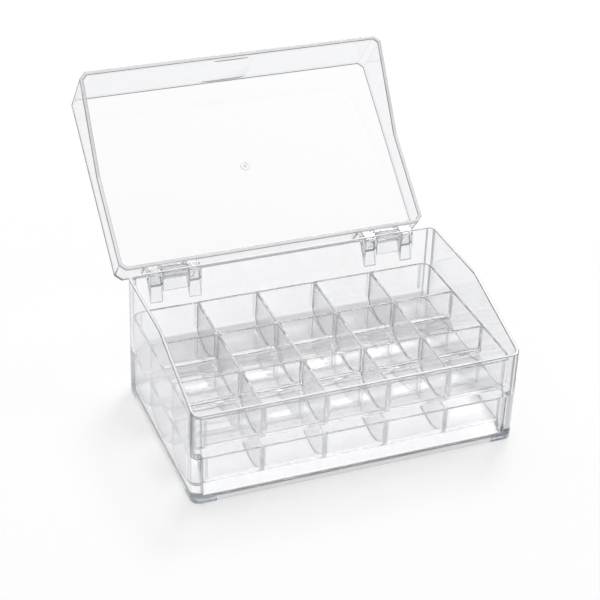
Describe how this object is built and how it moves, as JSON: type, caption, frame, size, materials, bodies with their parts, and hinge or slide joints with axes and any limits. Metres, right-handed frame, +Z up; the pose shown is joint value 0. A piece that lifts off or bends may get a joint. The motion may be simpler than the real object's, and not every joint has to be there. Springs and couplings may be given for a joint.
{
  "type": "sewing box",
  "caption": "Clear rectangular sewing box with a deep hinged lid, sloped side rims and stacked lift-out compartment trays with round-bottomed rows for thread and notions.",
  "frame": {"origin": "middle of the case's underside, on the plane that the box stands on", "axes": "+X to the right along the case's width, +Y to the hinged back, +Z up"},
  "size_m": [0.25, 0.3073, 0.2089],
  "materials": {
    "clear_case": "polished clear polystyrene",
    "clear_lid": "polished clear polystyrene",
    "clear_tray": "polished clear polystyrene",
    "clear_hinge": "clear moulded plastic"
  },
  "bodies": {
    "base": {"base_shell": "clear_case", "left_hinge_base_bracket": "clear_hinge", "right_hinge_base_bracket": "clear_hinge", "left_hinge_pin": "clear_hinge", "right_hinge_pin": "clear_hinge"},
    "lid": {"lid_shell": "clear_lid", "left_hinge_lid_bracket": "clear_hinge", "right_hinge_lid_bracket": "clear_hinge"},
    "tray_lower": {"lower_tray": "clear_tray"},
    "tray_upper": {"upper_tray": "clear_tray"}
  },
  "joints": [
    {"name": "lid_hinge", "type": "hinge", "parent": "base", "child": "lid", "pos_m": [0, 0.0852, 0.0925], "axis": [1, 0, 0], "range_deg": [0, 140.7]},
    {"name": "lower_tray_lift", "type": "slide", "parent": "base", "child": "tray_lower", "axis": [0, 0, 1], "range_m": [0, 0.13]},
    {"name": "upper_tray_lift", "type": "slide", "parent": "tray_lower", "child": "tray_upper", "axis": [0, 0, 1], "range_m": [0, 0.095]}
  ]
}
